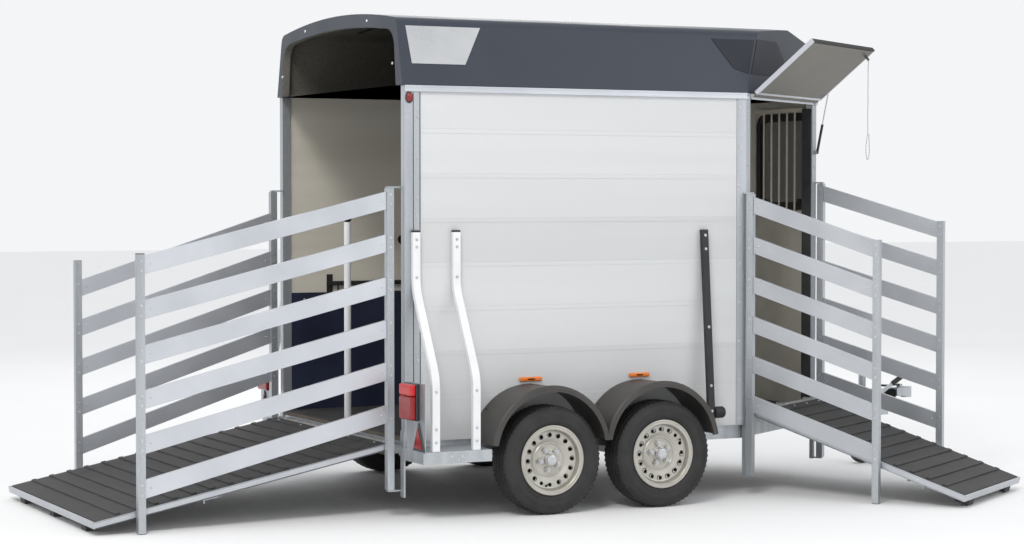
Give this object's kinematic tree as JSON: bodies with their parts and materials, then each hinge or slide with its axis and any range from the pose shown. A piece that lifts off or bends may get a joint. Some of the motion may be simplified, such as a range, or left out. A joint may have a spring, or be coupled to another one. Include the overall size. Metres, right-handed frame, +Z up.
{
  "type": "livestock trailer",
  "caption": "Tandem-axle livestock trailer with a moulded roof, rear and side loading ramps with swinging drive gates, and a propped side flap.",
  "frame": {"origin": "centre of the tow ball that the coupling takes, on the trailer's centre plane, 450 mm above the ground", "axes": "+X forwards towards the towing vehicle, +Y to the trailer's left, +Z up"},
  "size_m": [5.7417, 3.2281, 2.768],
  "materials": {
    "galvanised": "zinc-galvanised, softly mottled, satin",
    "deck_board": "resin-faced plywood",
    "rubber_mat": "matt ribbed rubber",
    "wall_panel": "light grey-white, low sheen planks",
    "window_rubber": "satin black rubber",
    "window_glass": "dark tinted clear",
    "cream_paint": "cream gloss paint",
    "bright_aluminium": "brushed, bright",
    "dull_aluminium": "mill finish, darker",
    "roof_plastic": "anthracite, low gloss",
    "guard_plastic": "dark grey, matt",
    "red_lens": "red lens",
    "orange_lens": "orange lens",
    "white_paint": "white powder coat",
    "black_paint": "black powder coat",
    "navy_board": "dark navy, matt",
    "wheel_steel": "silver-beige wheel paint",
    "tyre_rubber": "black, matt",
    "ramp_panel": "film-faced panel with aluminium edges",
    "flap_panel": "olive-brown grey film-faced panel",
    "cord_fibre": "light braided cord",
    "rod_chrome": "polished",
    "jockey_rubber": "solid rubber tread on a hub"
  },
  "bodies": {
    "trailer": {"chassis_frame": "galvanised", "floor_deck": "deck_board", "floor_mat": "rubber_mat", "rear_posts": "galvanised", "doorway_frame": "galvanised", "side_wall_right": "wall_panel", "side_wall_left": "wall_panel", "nose_walls": "wall_panel", "window_seal": "window_rubber", "window_pane": "window_glass", "window_guard": "cream_paint", "eave_trims": "bright_aluminium", "roof_shell": "roof_plastic", "axle_beams": "galvanised", "fenders": "guard_plastic", "wing_brackets": "galvanised", "tail_lamps": "red_lens", "corner_lamps": "red_lens", "side_markers": "orange_lens", "deflector_bars": "white_paint", "front_buffer_bars": "black_paint", "kick_boards": "navy_board", "partition_post": "white_paint", "drawbar": "galvanised", "overrun_housing": "black_paint", "coupling_head": "galvanised", "jockey_tube": "galvanised"},
    "wheel_rear_right": {"rim_rear_right": "wheel_steel", "tyre_rear_right": "tyre_rubber"},
    "wheel_rear_left": {"rim_rear_left": "wheel_steel", "tyre_rear_left": "tyre_rubber"},
    "wheel_front_right": {"rim_front_right": "wheel_steel", "tyre_front_right": "tyre_rubber"},
    "wheel_front_left": {"rim_front_left": "wheel_steel", "tyre_front_left": "tyre_rubber"},
    "rear_ramp": {"rear_ramp_frame": "ramp_panel", "rear_ramp_mat": "rubber_mat"},
    "side_ramp": {"side_ramp_frame": "ramp_panel", "side_ramp_mat": "rubber_mat"},
    "rear_ramp_latch_a": {"rear_ramp_latch_a": "galvanised"},
    "rear_ramp_latch_b": {"rear_ramp_latch_b": "galvanised"},
    "side_ramp_latch_a": {"side_ramp_latch_a": "galvanised"},
    "side_ramp_latch_b": {"side_ramp_latch_b": "galvanised"},
    "rear_gate_right": {"rear_gate_right_stiles": "galvanised", "rear_gate_right_rails": "bright_aluminium"},
    "rear_gate_left": {"rear_gate_left_stiles": "galvanised", "rear_gate_left_rails": "bright_aluminium"},
    "side_gate_near": {"side_gate_near_stiles": "galvanised", "side_gate_near_rails": "dull_aluminium"},
    "side_gate_far": {"side_gate_far_stiles": "galvanised", "side_gate_far_rails": "dull_aluminium"},
    "flap": {"flap_panel": "flap_panel"},
    "pull_cord": {"pull_cord": "cord_fibre"},
    "strut_tube": {"strut_tube": "black_paint"},
    "strut_rod": {"strut_rod": "rod_chrome"},
    "jockey_stem": {"jockey_stem": "galvanised"},
    "jockey_fork": {"jockey_fork": "galvanised"},
    "jockey_wheel": {"jockey_wheel": "jockey_rubber"},
    "handbrake_lever": {"handbrake_lever": "galvanised"},
    "coupling_handle": {"coupling_handle": "black_paint"}
  },
  "joints": [
    {"name": "wheel_rear_right_spin", "type": "hinge", "parent": "trailer", "child": "wheel_rear_right", "pos_m": [-3.23009, -1.1, -0.152], "axis": [0, 1, 0], "continuous": true},
    {"name": "wheel_rear_left_spin", "type": "hinge", "parent": "trailer", "child": "wheel_rear_left", "pos_m": [-3.23009, 1.1, -0.152], "axis": [0, 1, 0], "continuous": true},
    {"name": "wheel_front_right_spin", "type": "hinge", "parent": "trailer", "child": "wheel_front_right", "pos_m": [-2.53009, -1.1, -0.152], "axis": [0, 1, 0], "continuous": true},
    {"name": "wheel_front_left_spin", "type": "hinge", "parent": "trailer", "child": "wheel_front_left", "pos_m": [-2.53009, 1.1, -0.152], "axis": [0, 1, 0], "continuous": true},
    {"name": "rear_ramp_hinge", "type": "hinge", "parent": "trailer", "child": "rear_ramp", "pos_m": [-4.03609, 0, -0.058], "axis": [0, 1, 0], "range_deg": [0, 101.3]},
    {"name": "side_ramp_hinge", "type": "hinge", "parent": "trailer", "child": "side_ramp", "pos_m": [-1.36728, -0.65445, 0.036], "axis": [-0.8339, -0.5519, 0], "range_deg": [0, 108.3]},
    {"name": "rear_ramp_latch_a_turn", "type": "hinge", "parent": "rear_ramp", "child": "rear_ramp_latch_a", "pos_m": [-5.01043, 0.794, -0.28533], "axis": [0, -1, 0], "range_deg": [0, 100]},
    {"name": "rear_ramp_latch_b_turn", "type": "hinge", "parent": "rear_ramp", "child": "rear_ramp_latch_b", "pos_m": [-5.01043, -0.794, -0.28533], "axis": [0, -1, 0], "range_deg": [0, 100]},
    {"name": "side_ramp_latch_a_turn", "type": "hinge", "parent": "side_ramp", "child": "side_ramp_latch_a", "pos_m": [-1.22048, -1.69517, -0.31151], "axis": [0.8339, 0.5519, 0], "range_deg": [0, 100]},
    {"name": "side_ramp_latch_b_turn", "type": "hinge", "parent": "side_ramp", "child": "side_ramp_latch_b", "pos_m": [-0.46664, -1.19622, -0.31151], "axis": [0.8339, 0.5519, 0], "range_deg": [0, 100]},
    {"name": "rear_gate_right_swing", "type": "hinge", "parent": "trailer", "child": "rear_gate_right", "pos_m": [-4.06709, -0.872, 0.5], "axis": [0, 0, 1], "range_deg": [0, 80]},
    {"name": "rear_gate_left_swing", "type": "hinge", "parent": "trailer", "child": "rear_gate_left", "pos_m": [-4.06709, 0.872, 0.5], "axis": [0, 0, -1], "range_deg": [0, 80]},
    {"name": "side_gate_near_swing", "type": "hinge", "parent": "trailer", "child": "side_gate_near", "pos_m": [-1.81245, -0.9539, 0.5], "axis": [0, 0, -1], "range_deg": [0, 80]},
    {"name": "side_gate_far_swing", "type": "hinge", "parent": "trailer", "child": "side_gate_far", "pos_m": [-0.91769, -0.36167, 0.5], "axis": [0, 0, 1], "range_deg": [0, 60]},
    {"name": "flap_hinge", "type": "hinge", "parent": "trailer", "child": "flap", "pos_m": [-1.36949, -0.65111, 1.876], "axis": [0.8339, 0.5519, 0], "range_deg": [0, 130]},
    {"name": "pull_cord_hang", "type": "hinge", "parent": "flap", "child": "pull_cord", "pos_m": [-0.81274, -0.70232, 2.12007], "axis": [0.8339, 0.5519, 0], "range_deg": [-130, 0]},
    {"name": "strut_tilt", "type": "hinge", "parent": "trailer", "child": "strut_tube", "pos_m": [-0.95112, -0.36461, 1.56], "axis": [-0.8339, -0.5519, 0], "range_deg": [0, 9.19]},
    {"name": "strut_slide", "type": "slide", "parent": "strut_tube", "child": "strut_rod", "axis": [-0.1068, 0.1614, -0.9811], "range_m": [0, 0.14684]},
    {"name": "jockey_slide", "type": "slide", "parent": "trailer", "child": "jockey_stem", "axis": [0, 0, 1], "range_m": [0, 0.1]},
    {"name": "jockey_swivel", "type": "hinge", "parent": "jockey_stem", "child": "jockey_fork", "pos_m": [-0.262, 0.118, -0.25], "axis": [0, 0, 1], "continuous": true},
    {"name": "jockey_spin", "type": "hinge", "parent": "jockey_fork", "child": "jockey_wheel", "pos_m": [-0.262, 0.118, -0.359], "axis": [0, 1, 0], "continuous": true},
    {"name": "handbrake_pull", "type": "hinge", "parent": "trailer", "child": "handbrake_lever", "pos_m": [-0.3, -0.059, -0.015], "axis": [0, -1, 0], "range_deg": [-20, 45]},
    {"name": "coupling_handle_lift", "type": "hinge", "parent": "trailer", "child": "coupling_handle", "pos_m": [-0.05, 0, 0.058], "axis": [0, 1, 0], "range_deg": [0, 50], "stiffness_Nm_per_rad": 1, "springref_deg": -22.92}
  ],
  "couplings": [
    {"joint": "pull_cord_hang", "follows": "flap_hinge", "ratio": -1},
    {"joint": "strut_tilt", "follows": "flap_hinge", "ratio": 0.070582},
    {"joint": "strut_slide", "follows": "flap_hinge", "m_per_rad": 0.06463}
  ]
}
